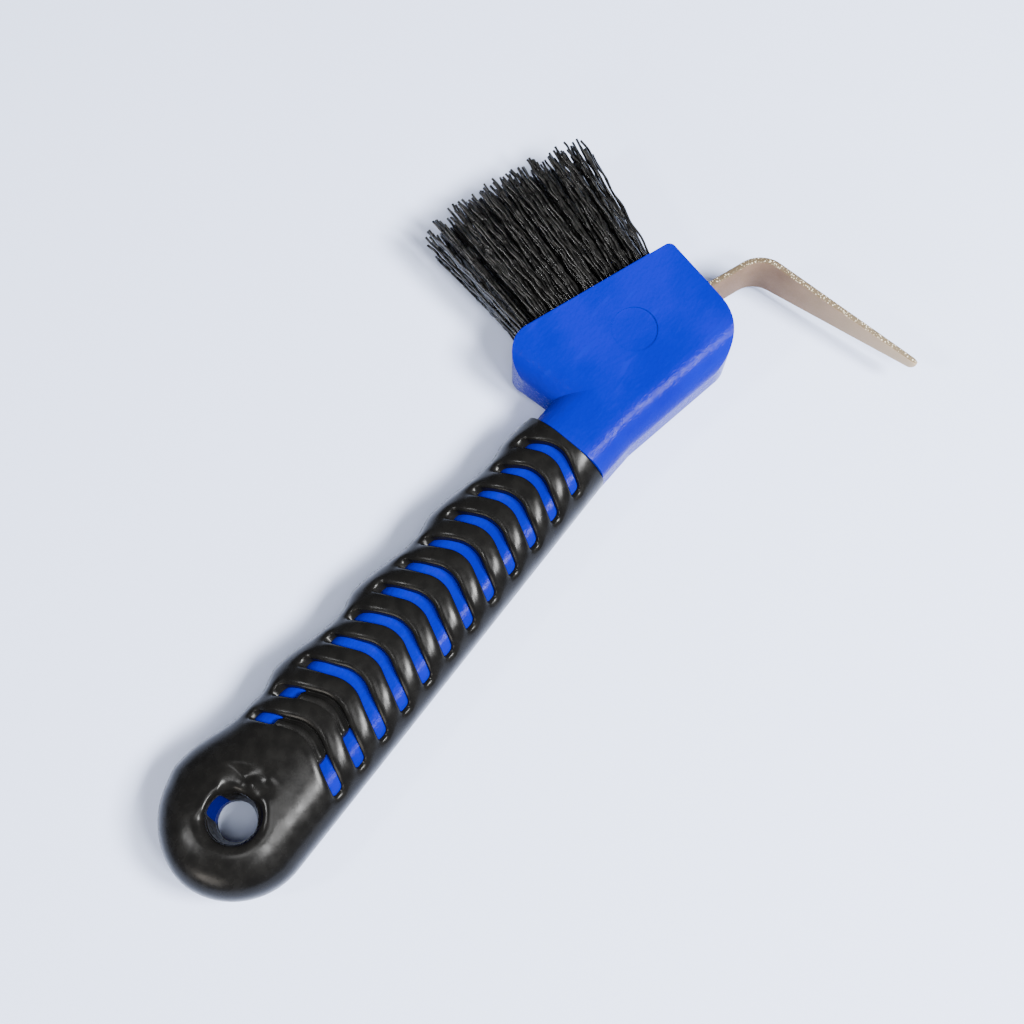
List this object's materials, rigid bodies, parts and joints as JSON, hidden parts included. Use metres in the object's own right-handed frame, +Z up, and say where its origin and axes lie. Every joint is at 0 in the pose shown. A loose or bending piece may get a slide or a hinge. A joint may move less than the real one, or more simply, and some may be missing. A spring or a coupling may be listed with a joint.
{
  "type": "hoof pick",
  "caption": "Hoof pick with a bent flat steel hook, a stiff nylon brush and a blue plastic handle in a black rubber grip with chevron slots.",
  "frame": {"origin": "on the surface the tool lies on, under the middle of its box", "axes": "+X along the handle from the hanging hole to the hook, +Y the way the bristles point, +Z up through the thickness"},
  "size_m": [0.1835, 0.1003, 0.019],
  "materials": {
    "blue_plastic": "glossy moulded polypropylene with faint flow streaks",
    "plated_steel": "dull plated steel, bright and speckled along the sheared edges",
    "black_rubber": "smooth satin thermoplastic rubber",
    "black_bristle": "crimped nylon, slightly shiny",
    "anchor_wire": "bright flat wire"
  },
  "bodies": {
    "root": {"body": "blue_plastic", "hook": "plated_steel", "grip_sleeve": "black_rubber", "tuft_anchors": "anchor_wire", "bristle_tuft_1_1": "black_bristle", "bristle_tuft_1_2": "black_bristle", "bristle_tuft_1_3": "black_bristle", "bristle_tuft_1_4": "black_bristle", "bristle_tuft_1_5": "black_bristle", "bristle_tuft_1_6": "black_bristle", "bristle_tuft_1_7": "black_bristle", "bristle_tuft_1_8": "black_bristle", "bristle_tuft_2_1": "black_bristle", "bristle_tuft_2_2": "black_bristle", "bristle_tuft_2_3": "black_bristle", "bristle_tuft_2_4": "black_bristle", "bristle_tuft_2_5": "black_bristle", "bristle_tuft_2_6": "black_bristle", "bristle_tuft_2_7": "black_bristle", "bristle_tuft_2_8": "black_bristle", "bristle_tuft_3_1": "black_bristle", "bristle_tuft_3_2": "black_bristle", "bristle_tuft_3_3": "black_bristle", "bristle_tuft_3_4": "black_bristle", "bristle_tuft_3_5": "black_bristle", "bristle_tuft_3_6": "black_bristle", "bristle_tuft_3_7": "black_bristle", "bristle_tuft_3_8": "black_bristle"}
  },
  "joints": []
}
